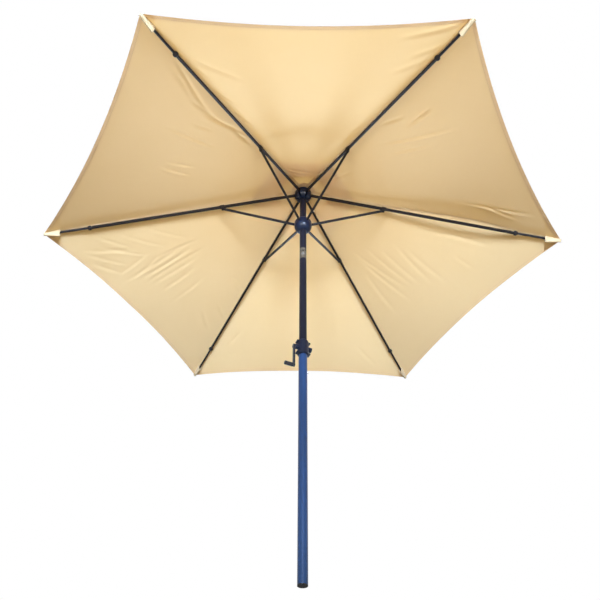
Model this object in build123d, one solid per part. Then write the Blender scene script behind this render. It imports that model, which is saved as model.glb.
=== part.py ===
# A six-rib patio umbrella with a crank lift, a push-button tilt and a vented canopy.
# Millimetres. The origin is the middle of the pole's foot, Z is up, and rib 1 points along +X.
import os
from math import atan2, cos, degrees, hypot, radians, sin, sqrt, tan

from build123d import *

# Driving sizes
TIP_RADIUS = 1350.0        # canopy corner from the pole's axis
HUB_HEIGHT = 2180.0        # rib pivots above the foot
RIB_COUNT = 6
RIB_SLOPE = 15.6           # degrees below level when open
FOLD_ANGLE = 68.0          # degrees that each rib turns to close
TILT_HEIGHT = 1687.0
CRANK_HEIGHT = 1061.0
CRANK_AZIMUTH = 203.0      # the way the crank's arm stands out

# Tubes
LOWER_RADIUS = 19.0
POLE_RADIUS = 17.5
POLE_WALL = 1.5
POLE_BORE = POLE_RADIUS - POLE_WALL
LOWER_BELOW_CRANK = 43.0   # the lower pole ends just under the crank's housing
LOWER_TOP = CRANK_HEIGHT - LOWER_BELOW_CRANK
SNAP_BELOW_TOP = 98.0
SNAP_HEIGHT = LOWER_TOP - SNAP_BELOW_TOP
POLE_OVERLAP = 200.0       # mid pole inside the lower pole
PLUG_RIM = 3.0
PLUG_DEPTH = 30.0
DEPTH_LINE = 450.0         # turned line that shows how far the pole goes into its base
DEPTH_LINE_WIDTH = 1.5
DEPTH_LINE_CUT = 0.25

# Fits
RUN = 0.05                 # radial clearance of pins and shafts
SIDE = 0.1                 # clearance on each side of a part in its slot

# Ribs, struts and their pivots
PIVOT_RADIUS = 31.0
PIN_RADIUS = 2.5
PIN_HALF = 14.0
RIB_WIDTH = 10.0
RIB_HEIGHT = 14.0
RIB_WALL = 0.8
STRUT_HEIGHT = 10.0
STRUT_WIDTH = RIB_WIDTH - 2 * SIDE
JOINT_ALONG = 426.0        # strut bracket along the rib from its pivot
JOINT_DROP = 16.0          # strut pin below the rib's centre line
BRACKET_WALL = 2.0
BRACKET_HALF = 12.0
RIVET_RADIUS = 2.0
COLLAR_FROM_TIP = 228.0    # collar's middle, measured level
COLLAR_REACH = TIP_RADIUS - COLLAR_FROM_TIP
COLLAR_RADIUS = 13.0
ROD_RADIUS = 6.0
ROD_TIP_RADIUS = 3.0
SPIGOT = 40.0

# Canopy
CLOTH = 1.0
SEAM_ABOVE_PIVOT = 25.0
HEM_INSET = 46.0           # how far the hem's middle is drawn in, measured level
HEM_STEPS = 8              # straight steps in half a gore's hem
VENT_RADIUS = 147.0        # corner of the vent opening
VENT_CAP_RADIUS = 290.0
VENT_GAP = 12.0
MIDDLE_SAG = 8.0           # the hem's middle below the flat between two corners
FOLD_GAP = 0.3             # between two cloths, at a rib's seam and at the fold in a gore's middle
POCKET_LENGTH = 83.0       # measured level
POCKET_REACH = TIP_RADIUS - POCKET_LENGTH
POCKET_HALF = 11.0         # the pocket hangs under the corner, deep at its mouth
POCKET_DEPTH = 40.0
POCKET_TIP_HALF = 9.0
POCKET_TIP_DEPTH = 13.0
POCKET_FOOT = 3.2
ROD_BELOW_SEAM = 7.0
CLAMP_RADIUS = 24.0
STUD_RADIUS = 7.0

# Hub and runner
BALL_RADIUS = 46.0
HUB_BELOW = 36.0
HUB_ABOVE = 28.0
NECK_RADIUS = 22.0
NECK_BELOW = 46.0          # just above the pulley's window in the pole
RUNNER_BELOW = 50.0
POLE_INTO_HUB = 20.0
SLOT_ROOM = 0.6
CROWN_RADIUS = CLAMP_RADIUS - CLOTH - 0.2

# Tilt joint
TILT_PIN_RADIUS = 4.0
TONGUE_HALF = 9.0
FORK_BASE = 40.0           # below the pivot, where the mid pole ends
TONGUE_BASE = 36.0         # above the pivot, where the upper pole starts
TONGUE_STEP = 24.0
TILT_SPIGOT = 40.0
BUTTON_RADIUS = 5.0
BUTTON_UP = 13.5
BUTTON_PROUD = 1.0
BUTTON_LENGTH = 10.0
BUTTON_HOLE_END = 4.0      # from the pole's axis
CORD_HOLE = 2.5
CORD_OFFSET = 9.0

# Crank
SHELL_RADIUS = 25.0
SHELL_WALL = 2.5
SHELL_HALF = 38.0
EAR_OUT = 27.0             # screws beside the pole, above and below the shaft
EAR_UP = 31.0
EAR_RADIUS = 6.0
EAR_DEPTH = 9.0
SCREW_RADIUS = 1.75
SHAFT_RADIUS = 5.0
BOSS_RADIUS = 12.0
BOSS_REACH = 37.0
DRUM_RADIUS = 8.0
DRUM_FLANGE = 10.5
DRUM_HALF = 10.5
ARM_LENGTH = 108.0
ARM_NEAR = 38.0
ARM_FAR = 48.0
KNOB_RADIUS = 9.0
KNOB_LENGTH = 40.0
AXLE_RADIUS = 3.0
AXLE_HEAD = 5.0

# Snap button
SNAP_RADIUS = 4.0
SNAP_PROUD = 5.0
SNAP_FLANGE = 6.0
LEAF = 0.8

# Pulley
PULLEY_RADIUS = 10.0
PULLEY_BELOW_HUB = 60.0
PULLEY_OFFSET = 5.0
PULLEY_AXLE = 2.0

# Worked out from the sizes above
STEP_ANGLE = 360.0 / RIB_COUNT
HALF_STEP = radians(STEP_ANGLE / 2)
SLOPE = radians(RIB_SLOPE)
PIVOT_LINE = SLOPE + atan2(JOINT_DROP, JOINT_ALONG)
STRUT_LENGTH = hypot(JOINT_ALONG, JOINT_DROP)
RUNNER_DROP = 2 * STRUT_LENGTH * sin(PIVOT_LINE)
RUNNER_HEIGHT = HUB_HEIGHT - RUNNER_DROP
COLLAR_ALONG = (COLLAR_REACH - PIVOT_RADIUS) / cos(SLOPE)
RIB_LENGTH = COLLAR_ALONG - COLLAR_RADIUS


def rib_line(reach):
    """Height of a rib's centre line at a distance from the pole's axis."""
    return HUB_HEIGHT - (reach - PIVOT_RADIUS) * tan(SLOPE)


def side_fall(seam_fall):
    """Fall of a half gore per millimetre away from its rib: flat to the next rib, and sagging a little."""
    return seam_fall * tan(HALF_STEP) + MIDDLE_SAG / (TIP_RADIUS * cos(HALF_STEP) * sin(HALF_STEP))


def fall_along_seam():
    """Fall of a seam per millimetre out along its rib, with the cloth just clear of the collar."""
    start = HUB_HEIGHT + SEAM_ABOVE_PIVOT
    fall = 0.3
    for _ in range(20):
        lean = cos(atan2(hypot(fall, side_fall(fall)), 1))
        seam = rib_line(COLLAR_REACH) + (COLLAR_RADIUS + RUN) / lean
        fall = (start - seam) / (COLLAR_REACH - PIVOT_RADIUS)
    return fall


SEAM_FALL = fall_along_seam()
SIDE_FALL = side_fall(SEAM_FALL)
APEX_HEIGHT = HUB_HEIGHT + SEAM_ABOVE_PIVOT + SEAM_FALL * PIVOT_RADIUS


def seam_height(reach):
    """Height of the canopy's underside over a rib."""
    return APEX_HEIGHT - SEAM_FALL * reach


def gore_point(reach, across):
    """A point on a half gore's underside, where reach runs along its rib and across away from it."""
    return Vector(reach, across, seam_height(reach) - SIDE_FALL * across)


def cylinder(radius, start, end, axis="Z"):
    """A round bar on the X, Y or Z axis from start to end."""
    bar = Cylinder(radius, end - start, align=(Align.CENTER, Align.CENTER, Align.MIN))
    bar = Pos(0, 0, start) * bar
    turns = {"X": Rot(0, 90, 0), "Y": Rot(-90, 0, 0), "Z": Rot(0, 0, 0)}
    return turns[axis] * bar


def tube(outer, inner, start, end):
    return cylinder(outer, start, end) - cylinder(inner, start - 1, end + 1)


def block(x, y, z):
    """A box from three (low, high) pairs."""
    box = Box(x[1] - x[0], y[1] - y[0], z[1] - z[0], align=(Align.MIN, Align.MIN, Align.MIN))
    return Pos(x[0], y[0], z[0]) * box


def on_rib(shape):
    """Places a shape that was made along +X from the rib's pivot."""
    return Pos(PIVOT_RADIUS, 0, HUB_HEIGHT) * Rot(0, RIB_SLOPE, 0) * shape


def around(shape, number):
    return Rot(0, 0, STEP_ANGLE * number) * shape


def on_crank(shape):
    """Places a shape that was made with the crank's axis along +X."""
    return Pos(0, 0, CRANK_HEIGHT) * Rot(0, 0, CRANK_AZIMUTH) * shape


def on_tilt(shape):
    return Pos(0, 0, TILT_HEIGHT) * shape


# Canopy

def hem_points():
    """Points along a half gore's hem, from the corner to the gore's middle, on one round arc in plan."""
    half_side = TIP_RADIUS * sin(HALF_STEP)
    full = TIP_RADIUS * cos(HALF_STEP)
    radius = (half_side ** 2 + HEM_INSET ** 2) / (2 * HEM_INSET)
    points = []
    for number in range(HEM_STEPS + 1):
        across = half_side * (number / HEM_STEPS - 1)
        out = full - HEM_INSET + radius - sqrt(radius ** 2 - across ** 2)
        reach = out * cos(HALF_STEP) - across * sin(HALF_STEP)
        side = out * sin(HALF_STEP) + across * cos(HALF_STEP)
        points.append((reach, side))
    return points


def half_gore():
    """The cloth from rib 1's seam to the fold in the middle of the next gore, with half of the pocket."""
    outline = [(VENT_RADIUS, 0)] + hem_points()
    vent_out = VENT_RADIUS * cos(HALF_STEP)
    outline.append((vent_out * cos(HALF_STEP), vent_out * sin(HALF_STEP)))
    for end in (0, 1):
        outline[end] = (outline[end][0], FOLD_GAP / 2)
    for end in (-1, -2):
        outline[end] = (outline[end][0], outline[end][1] - FOLD_GAP / 2 / cos(HALF_STEP))
    corners = [gore_point(reach, across) for reach, across in outline]
    cloth = extrude(Face(Wire(Polyline(*corners, close=True))), CLOTH, dir=(0, 0, 1))
    return cloth + half_pocket()


def half_pocket():
    """Half of the sleeve that hangs under the canopy's corner, with the rib end's rod in it."""
    def section(reach, half, depth, wall):
        base = seam_height(reach)
        top = base if wall else base + CLOTH / 2
        edge = half - 1.6 * wall
        corners = [
            (reach, FOLD_GAP / 2, top),
            (reach, edge, top - SIDE_FALL * edge),
            (reach, POCKET_FOOT - wall, base - depth + wall),
            (reach, FOLD_GAP / 2, base - depth + wall),
        ]
        return Face(Wire(Polyline(*corners, close=True)))

    def sleeve(end, wall):
        mouth = section(POCKET_REACH, POCKET_HALF, POCKET_DEPTH, wall)
        return loft([mouth, section(end, POCKET_TIP_HALF, POCKET_TIP_DEPTH, wall)])

    return sleeve(TIP_RADIUS, 0) - sleeve(TIP_RADIUS - 2 * CLOTH, CLOTH)


def vent_cap():
    """The small upper canopy over the vent, with a flat washer in its middle for the finial."""
    cap = None
    for number in range(RIB_COUNT):
        first = Vector(VENT_CAP_RADIUS, 0, seam_height(VENT_CAP_RADIUS) + VENT_GAP)
        second = first.rotate(Axis.Z, STEP_ANGLE)
        top = Vector(0, 0, APEX_HEIGHT + VENT_GAP)
        gore = extrude(Face(Wire(Polyline(top, first, second, close=True))), CLOTH, dir=(0, 0, 1))
        gore = around(gore, number)
        cap = gore if cap is None else cap + gore
    washer = cylinder(CLAMP_RADIUS, clamp_height(), clamp_height() + 3 * CLOTH)
    cap = cap - cylinder(CLAMP_RADIUS - CLOTH, APEX_HEIGHT - 50, APEX_HEIGHT + 50)
    return (cap + washer) - cylinder(STUD_RADIUS, APEX_HEIGHT - 50, APEX_HEIGHT + 50)


def clamp_height():
    """Underside of the vent cap's washer, which the hub carries."""
    return APEX_HEIGHT + VENT_GAP - SEAM_FALL * CLAMP_RADIUS - CLOTH / 2


# Ribs and struts

def rib():
    half_height = RIB_HEIGHT / 2
    half_width = RIB_WIDTH / 2
    bar = block((0, RIB_LENGTH), (-half_width, half_width), (-half_height, half_height))
    bar += cylinder(half_height, -half_width, half_width, "Y")
    hollow = block(
        (RIB_HEIGHT, RIB_LENGTH + 1),
        (RIB_WALL - half_width, half_width - RIB_WALL),
        (RIB_WALL - half_height, half_height - RIB_WALL),
    )
    bar = bar - hollow - cylinder(PIN_RADIUS + RUN, -RIB_WIDTH, RIB_WIDTH, "Y")
    bar -= Pos(JOINT_ALONG, 0, 0) * cylinder(RIVET_RADIUS, -RIB_WIDTH, RIB_WIDTH, "Y")
    return on_rib(bar)


def rib_bracket():
    """A saddle over the rib, fixed by a rivet, with the pin that the strut turns on."""
    inner = RIB_WIDTH / 2
    outer = inner + BRACKET_WALL
    half_height = RIB_HEIGHT / 2
    top = half_height + BRACKET_WALL
    ear = PIN_RADIUS + 4.5
    saddle = block((-BRACKET_HALF, BRACKET_HALF), (-outer, outer), (-half_height, top))
    saddle += block((-ear, ear), (-outer, outer), (-JOINT_DROP, 0))
    saddle += Pos(0, 0, -JOINT_DROP) * cylinder(ear, -outer, outer, "Y")
    saddle -= block((-2 * BRACKET_HALF, 2 * BRACKET_HALF), (-inner, inner), (-3 * JOINT_DROP, half_height))
    saddle += cylinder(RIVET_RADIUS, -outer - 1, outer + 1, "Y")
    pin = cylinder(PIN_RADIUS, -outer - 1.5, outer + 1.5, "Y")
    pin += cylinder(PIN_RADIUS + 2, outer, outer + 1.5, "Y")
    pin += cylinder(PIN_RADIUS + 2, -outer - 1.5, -outer, "Y")
    saddle += Pos(0, 0, -JOINT_DROP) * pin
    return on_rib(Pos(JOINT_ALONG, 0, 0) * saddle)


def rib_end():
    """Spigot in the rib's tube, the collar that carries the canopy, and the rod in the pocket."""
    half_width = RIB_WIDTH / 2 - RIB_WALL
    half_height = RIB_HEIGHT / 2 - RIB_WALL
    body = block((RIB_LENGTH - SPIGOT, RIB_LENGTH), (-half_width, half_width), (-half_height, half_height))
    body += cylinder(RIB_WIDTH / 2 + 2, RIB_LENGTH, COLLAR_ALONG, "X")
    body += Pos(COLLAR_ALONG, 0, 0) * Sphere(COLLAR_RADIUS)
    body = on_rib(body)
    start = Vector(COLLAR_REACH, 0, rib_line(COLLAR_REACH))
    tip_reach = TIP_RADIUS - 5 * CLOTH
    end = Vector(tip_reach, 0, seam_height(tip_reach) - ROD_BELOW_SEAM)
    length = (end - start).length
    straight = length * (POCKET_REACH - COLLAR_REACH) / (tip_reach - COLLAR_REACH)
    taper = Cone(
        ROD_RADIUS, ROD_TIP_RADIUS, length - straight,
        align=(Align.CENTER, Align.CENTER, Align.MIN),
    )
    rod = cylinder(ROD_RADIUS, 0, straight) + Pos(0, 0, straight) * taper
    body += Plane(origin=start, z_dir=end - start) * rod
    return body


def strut():
    half_width = STRUT_WIDTH / 2
    half_height = STRUT_HEIGHT / 2
    bar = block((0, STRUT_LENGTH), (-half_width, half_width), (-half_height, half_height))
    for end in (0, STRUT_LENGTH):
        bar += Pos(end, 0, 0) * cylinder(half_height, -half_width, half_width, "Y")
    bar -= block(
        (STRUT_HEIGHT, STRUT_LENGTH - STRUT_HEIGHT),
        (RIB_WALL - half_width, half_width - RIB_WALL),
        (RIB_WALL - half_height, half_height - RIB_WALL),
    )
    for end in (0, STRUT_LENGTH):
        bar -= Pos(end, 0, 0) * cylinder(PIN_RADIUS + RUN, -RIB_WIDTH, RIB_WIDTH, "Y")
    return Pos(PIVOT_RADIUS, 0, RUNNER_HEIGHT) * Rot(0, -degrees(PIVOT_LINE), 0) * bar


# Hub, runner and what is on top

def ball(below, above):
    body = cylinder(BALL_RADIUS, -below, above)
    low = body.edges().group_by(Axis.Z)[0]
    high = body.edges().group_by(Axis.Z)[-1]
    body = fillet(low, 0.8 * below)
    return fillet(body.edges().group_by(Axis.Z)[-1], 0.6 * above) if high else body


def pivot_pins(height):
    pins = []
    for number in range(RIB_COUNT):
        pin = Pos(PIVOT_RADIUS, 0, height) * cylinder(PIN_RADIUS, -PIN_HALF, PIN_HALF, "Y")
        pins.append(around(pin, number))
    return pins


def top_hub():
    body = ball(HUB_BELOW, HUB_ABOVE)
    body += cylinder(NECK_RADIUS, -NECK_BELOW, 0)
    crown_top = clamp_height() - HUB_HEIGHT
    body += cylinder(CROWN_RADIUS, 0, crown_top)
    body -= cylinder(POLE_RADIUS, -2 * HUB_BELOW, POLE_INTO_HUB)
    body -= cylinder(STUD_RADIUS, POLE_INTO_HUB, 2 * crown_top)
    eye = RIB_HEIGHT / 2 + SLOT_ROOM
    half = RIB_WIDTH / 2 + SIDE
    slot = block((PIVOT_RADIUS - eye, 2 * BALL_RADIUS), (-half, half), (-2 * HUB_BELOW, eye))
    for number in range(RIB_COUNT):
        body -= around(slot, number)
    body = Pos(0, 0, HUB_HEIGHT) * body
    for pin in pivot_pins(HUB_HEIGHT):
        body -= pin
    return body


def runner():
    body = ball(RUNNER_BELOW, HUB_ABOVE)
    body -= cylinder(POLE_RADIUS + RUN, -2 * RUNNER_BELOW, 2 * HUB_ABOVE)
    eye = STRUT_HEIGHT / 2 + SLOT_ROOM
    half = STRUT_WIDTH / 2 + SIDE
    slot = block((PIVOT_RADIUS - eye, 2 * BALL_RADIUS), (-half, half), (-eye, 2 * HUB_ABOVE))
    for number in range(RIB_COUNT):
        body -= around(slot, number)
    keyway = BUTTON_RADIUS + 1
    body -= block((-keyway, keyway), (-POLE_RADIUS - BUTTON_PROUD - 1, 0), (-2 * RUNNER_BELOW, 2 * HUB_ABOVE))
    body = Pos(0, 0, RUNNER_HEIGHT) * body
    for pin in pivot_pins(RUNNER_HEIGHT):
        body -= pin
    return body


def finial():
    foot = clamp_height() + 3 * CLOTH
    shape = cylinder(CLAMP_RADIUS, foot, foot + 5)
    shape += cylinder(9, foot, foot + 22)
    shape += Pos(0, 0, foot + 36) * Sphere(20)
    shape += cylinder(STUD_RADIUS, HUB_HEIGHT + POLE_INTO_HUB, foot)
    return shape


def pulley():
    """A grooved wheel with a trunnion on each side, which turns in the upper pole's wall."""
    reach = sqrt(POLE_RADIUS ** 2 - (PULLEY_OFFSET + PULLEY_AXLE) ** 2)
    wheel = cylinder(PULLEY_RADIUS, -3, 3, "X")
    wheel -= Rot(0, 90, 0) * Torus(PULLEY_RADIUS + 0.5, 1.8)
    wheel += cylinder(PULLEY_AXLE, -reach, reach, "X")
    return Pos(0, PULLEY_OFFSET, HUB_HEIGHT - PULLEY_BELOW_HUB) * wheel


# Poles

def foot_plug():
    rim = cylinder(LOWER_RADIUS, 0, PLUG_RIM)
    return rim + cylinder(LOWER_RADIUS - POLE_WALL, PLUG_RIM, PLUG_DEPTH)


def lower_pole():
    body = tube(LOWER_RADIUS, LOWER_RADIUS - POLE_WALL, PLUG_RIM, LOWER_TOP)
    body -= tube(LOWER_RADIUS + 1, LOWER_RADIUS - DEPTH_LINE_CUT, DEPTH_LINE, DEPTH_LINE + DEPTH_LINE_WIDTH)
    return body - Pos(0, 0, SNAP_HEIGHT) * cylinder(SNAP_RADIUS + RUN, 0, 2 * LOWER_RADIUS, "X")


def mid_pole():
    body = tube(POLE_RADIUS, POLE_BORE, LOWER_TOP - POLE_OVERLAP, TILT_HEIGHT - FORK_BASE)
    body -= Pos(0, 0, SNAP_HEIGHT) * cylinder(SNAP_RADIUS + RUN, 0, 2 * LOWER_RADIUS, "X")
    return body - on_crank(cylinder(DRUM_FLANGE + 0.5, -2 * POLE_RADIUS, 2 * POLE_RADIUS, "X"))


def upper_pole():
    body = tube(POLE_RADIUS, POLE_BORE, TILT_HEIGHT + TONGUE_BASE, HUB_HEIGHT + POLE_INTO_HUB)
    middle = HUB_HEIGHT - PULLEY_BELOW_HUB
    axle = cylinder(PULLEY_AXLE + RUN, -2 * POLE_RADIUS, 2 * POLE_RADIUS, "X")
    body -= Pos(0, PULLEY_OFFSET, middle) * axle
    return body - block((-4, 4), (0, 2 * POLE_RADIUS), (middle - 12, middle + 12))


def snap_button():
    flange_face = sqrt(POLE_BORE ** 2 - SNAP_FLANGE ** 2) - 0.1
    end = LOWER_RADIUS + SNAP_PROUD
    shape = cylinder(SNAP_RADIUS, flange_face, end, "X")
    shape = fillet(shape.edges().group_by(Axis.X)[-1], 0.7 * SNAP_RADIUS)
    shape += cylinder(SNAP_FLANGE, flange_face - 2 * LEAF, flange_face, "X")
    return Pos(0, 0, SNAP_HEIGHT) * shape


def snap_spring():
    """A leaf bent into a U, between the button's flange and the far wall of the mid pole."""
    back = sqrt(POLE_BORE ** 2 - SNAP_FLANGE ** 2) - 0.1 - 2 * LEAF
    half = 5.0
    far = -sqrt(POLE_BORE ** 2 - half ** 2)
    low, high = -50.0, 12.0
    shape = block((back - LEAF, back), (-half, half), (low, high))
    shape += block((far, far + LEAF), (-half, half), (low, high))
    shape += block((far, back), (-half, half), (low, low + LEAF))
    return Pos(0, 0, SNAP_HEIGHT) * shape


# Tilt joint

def tilt_fork():
    top = cylinder(POLE_RADIUS, -FORK_BASE, POLE_RADIUS)
    dome = cylinder(POLE_RADIUS, -POLE_RADIUS, POLE_RADIUS, "X")
    dome += block((-POLE_RADIUS, POLE_RADIUS), (-POLE_RADIUS, POLE_RADIUS), (-FORK_BASE, 0))
    shape = top & dome
    gap = TONGUE_HALF + RUN
    shape -= block((-gap, gap), (-2 * POLE_RADIUS, 2 * POLE_RADIUS), (-POLE_RADIUS, 2 * POLE_RADIUS))
    shape += cylinder(POLE_BORE, -FORK_BASE - TILT_SPIGOT, -FORK_BASE)
    shape -= cylinder(TILT_PIN_RADIUS, -2 * POLE_RADIUS, 2 * POLE_RADIUS, "X")
    shape -= Pos(0, CORD_OFFSET, 0) * cylinder(CORD_HOLE, -2 * FORK_BASE - 1, 0)
    return on_tilt(shape)


def tilt_tongue():
    shape = cylinder(POLE_RADIUS, -POLE_RADIUS, TONGUE_STEP)
    shape &= block((-TONGUE_HALF, TONGUE_HALF), (-POLE_RADIUS, POLE_RADIUS), (-POLE_RADIUS, TONGUE_STEP))
    round_end = cylinder(POLE_RADIUS - SLOT_ROOM, -POLE_RADIUS, POLE_RADIUS, "X")
    round_end += block((-POLE_RADIUS, POLE_RADIUS), (-POLE_RADIUS, POLE_RADIUS), (0, TONGUE_STEP))
    shape &= round_end
    shape += cylinder(POLE_RADIUS, TONGUE_STEP, TONGUE_BASE)
    shape += cylinder(POLE_BORE, TONGUE_BASE, TONGUE_BASE + TILT_SPIGOT)
    shape -= cylinder(TILT_PIN_RADIUS + RUN, -2 * POLE_RADIUS, 2 * POLE_RADIUS, "X")
    shape -= Pos(0, 0, BUTTON_UP) * cylinder(BUTTON_RADIUS + RUN, -2 * POLE_RADIUS, -BUTTON_HOLE_END, "Y")
    shape -= Pos(0, CORD_OFFSET, 0) * cylinder(CORD_HOLE, -2 * POLE_RADIUS, TONGUE_BASE + TILT_SPIGOT + 1)
    return on_tilt(shape)


def tilt_pin():
    reach = sqrt(POLE_RADIUS ** 2 - TILT_PIN_RADIUS ** 2)
    return on_tilt(cylinder(TILT_PIN_RADIUS, -reach, reach, "X"))


def tilt_button():
    face = -POLE_RADIUS - BUTTON_PROUD
    shape = cylinder(BUTTON_RADIUS, face, face + BUTTON_LENGTH, "Y")
    shape = fillet(shape.edges().group_by(Axis.Y)[0], 0.8)
    return on_tilt(Pos(0, 0, BUTTON_UP) * shape)


def tilt_spring():
    start = -POLE_RADIUS - BUTTON_PROUD + BUTTON_LENGTH
    sleeve = cylinder(4.0, start, -BUTTON_HOLE_END, "Y")
    sleeve -= cylinder(3.0, start - 1, 0, "Y")
    return on_tilt(Pos(0, 0, BUTTON_UP) * sleeve)


# Crank

def housing():
    """Both shells in one, before the split along the crank's shaft."""
    body = cylinder(SHELL_RADIUS, -SHELL_HALF, SHELL_HALF)
    body = fillet(body.edges().filter_by(GeomType.CIRCLE), 4)
    body += cylinder(BOSS_RADIUS, -BOSS_REACH - 3, BOSS_REACH, "X")
    for side in (-1, 1):
        for up in (-EAR_UP, EAR_UP):
            ear = Pos(side * EAR_OUT, 0, up) * cylinder(EAR_RADIUS, -EAR_DEPTH, EAR_DEPTH, "Y")
            low, high = sorted((side * POLE_RADIUS, side * EAR_OUT))
            ear += block((low, high), (-EAR_DEPTH, EAR_DEPTH), (up - EAR_RADIUS, up + EAR_RADIUS))
            body += ear
    inside = SHELL_RADIUS - SHELL_WALL
    body -= cylinder(inside, SHELL_WALL - SHELL_HALF, SHELL_HALF - SHELL_WALL)
    body -= cylinder(POLE_RADIUS, -2 * SHELL_HALF, 2 * SHELL_HALF)
    body -= cylinder(SHAFT_RADIUS + RUN, -BOSS_REACH, 2 * BOSS_REACH, "X")
    for screw in screws():
        body -= screw
    return body


def screws():
    made = []
    for side in (-1, 1):
        for up in (-EAR_UP, EAR_UP):
            screw = cylinder(SCREW_RADIUS, 1 - EAR_DEPTH, EAR_DEPTH, "Y")
            screw += cylinder(2 * SCREW_RADIUS, EAR_DEPTH, EAR_DEPTH + 2, "Y")
            made.append(Pos(side * EAR_OUT, 0, up) * screw)
    return made


def housing_half(side):
    low, high = sorted((0, side * 2 * SHELL_HALF))
    reach = 2 * SHELL_HALF
    return on_crank(housing() & block((-reach, reach), (low, high), (-reach, reach)))


def crank_spool():
    shape = cylinder(SHAFT_RADIUS, RUN - BOSS_REACH, ARM_FAR - 2, "X")
    shape += cylinder(DRUM_RADIUS, -DRUM_HALF, DRUM_HALF, "X")
    for low, high in ((-DRUM_HALF, 1.5 - DRUM_HALF), (DRUM_HALF - 1.5, DRUM_HALF)):
        shape += cylinder(DRUM_FLANGE, low, high, "X")
    return on_crank(shape)


def crank_arm():
    near = ARM_NEAR + 1
    far = ARM_FAR - 1
    shape = cylinder(10, ARM_NEAR, ARM_FAR, "X")
    shape += block((near, far), (-6, 6), (-ARM_LENGTH, 0))
    shape += Pos(0, 0, -ARM_LENGTH) * cylinder(8, near, far, "X")
    shape -= cylinder(SHAFT_RADIUS, 0, ARM_FAR - 2, "X")
    axle = cylinder(AXLE_RADIUS, far, far + KNOB_LENGTH, "X")
    axle += cylinder(AXLE_HEAD, far + KNOB_LENGTH - 2, far + KNOB_LENGTH, "X")
    shape += Pos(0, 0, -ARM_LENGTH) * axle
    return on_crank(shape)


def crank_knob():
    start = ARM_FAR - 1 + SIDE
    end = ARM_FAR - 1 + KNOB_LENGTH
    head = end - 2 - SIDE
    shape = cylinder(KNOB_RADIUS, start, end, "X")
    shape = fillet(shape.edges().group_by(Axis.X)[-1], 3)
    shape = fillet(shape.edges().group_by(Axis.X)[0], 2)
    shape -= cylinder(AXLE_RADIUS + RUN, 0, 2 * end, "X")
    shape -= cylinder(AXLE_HEAD + 2 * SIDE, head, 2 * end, "X")
    return on_crank(Pos(0, 0, -ARM_LENGTH) * shape)


# All the nodes

def nodes():
    made = {
        "foot_plug": foot_plug(),
        "lower_pole": lower_pole(),
        "mid_pole": mid_pole(),
        "upper_pole": upper_pole(),
        "snap_button": snap_button(),
        "snap_spring": snap_spring(),
        "tilt_fork": tilt_fork(),
        "tilt_tongue": tilt_tongue(),
        "tilt_pin": tilt_pin(),
        "tilt_button": tilt_button(),
        "tilt_spring": tilt_spring(),
        "housing_front": housing_half(1),
        "housing_back": housing_half(-1),
        "housing_screws": Compound(children=[on_crank(screw).solid() for screw in screws()]),
        "crank_spool": crank_spool(),
        "crank_arm": crank_arm(),
        "crank_knob": crank_knob(),
        "top_hub": top_hub(),
        "hub_pins": Compound(children=[pin.solid() for pin in pivot_pins(HUB_HEIGHT)]),
        "finial": finial(),
        "vent_cap": vent_cap(),
        "pulley": pulley(),
        "runner": runner(),
        "runner_pins": Compound(children=[pin.solid() for pin in pivot_pins(RUNNER_HEIGHT)]),
    }
    repeated = {
        "rib": rib(),
        "rib_end": rib_end(),
        "rib_bracket": rib_bracket(),
        "strut": strut(),
        "canopy_left": half_gore(),
        "canopy_right": mirror(half_gore(), Plane.XZ),
    }
    for name, shape in repeated.items():
        for number in range(RIB_COUNT):
            made[f"{name}_{number + 1}"] = around(shape, number)
    return made


def report_sizes():
    """Prints the sizes that the record and the scene repeat."""
    joint = on_rib(Pos(JOINT_ALONG, 0, -JOINT_DROP) * Vertex(0, 0, 0)).center()
    closed = 2 * STRUT_LENGTH * sin(PIVOT_LINE + radians(FOLD_ANGLE))
    print("strut pin", joint, "runner height", RUNNER_HEIGHT, "closed", HUB_HEIGHT - closed)
    print("runner travel", closed - RUNNER_DROP, "strut angle", degrees(PIVOT_LINE))
    print("seam fall", SEAM_FALL, "side fall", SIDE_FALL, "apex", APEX_HEIGHT, "tip", seam_height(TIP_RADIUS))
    print("clamp", clamp_height(), "hem", hem_points()[-1])


os.makedirs("parts", exist_ok=True)
report_sizes()
for node_name, node_shape in nodes().items():
    node_shape.label = node_name
    export_step(node_shape, f"parts/{node_name}.step")
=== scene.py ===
# The looks of a six-rib patio umbrella, seen from below as in the photograph. Metres.
import math

import bpy
import numpy as np
from mathutils import Matrix, Vector


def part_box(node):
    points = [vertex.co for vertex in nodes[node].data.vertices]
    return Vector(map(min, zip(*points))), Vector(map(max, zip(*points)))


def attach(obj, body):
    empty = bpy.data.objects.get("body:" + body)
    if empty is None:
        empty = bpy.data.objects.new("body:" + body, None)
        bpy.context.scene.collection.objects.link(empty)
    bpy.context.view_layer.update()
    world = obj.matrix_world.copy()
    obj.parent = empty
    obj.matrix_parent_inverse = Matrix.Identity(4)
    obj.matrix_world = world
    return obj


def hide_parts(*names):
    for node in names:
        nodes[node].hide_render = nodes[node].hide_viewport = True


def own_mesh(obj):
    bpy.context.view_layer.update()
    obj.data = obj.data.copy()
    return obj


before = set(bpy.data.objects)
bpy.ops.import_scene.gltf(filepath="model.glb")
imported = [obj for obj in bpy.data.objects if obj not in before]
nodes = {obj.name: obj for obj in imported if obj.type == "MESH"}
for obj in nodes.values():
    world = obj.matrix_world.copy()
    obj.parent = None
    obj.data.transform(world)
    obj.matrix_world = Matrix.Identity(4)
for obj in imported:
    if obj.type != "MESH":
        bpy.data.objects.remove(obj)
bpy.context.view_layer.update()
scene = bpy.context.scene

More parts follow.
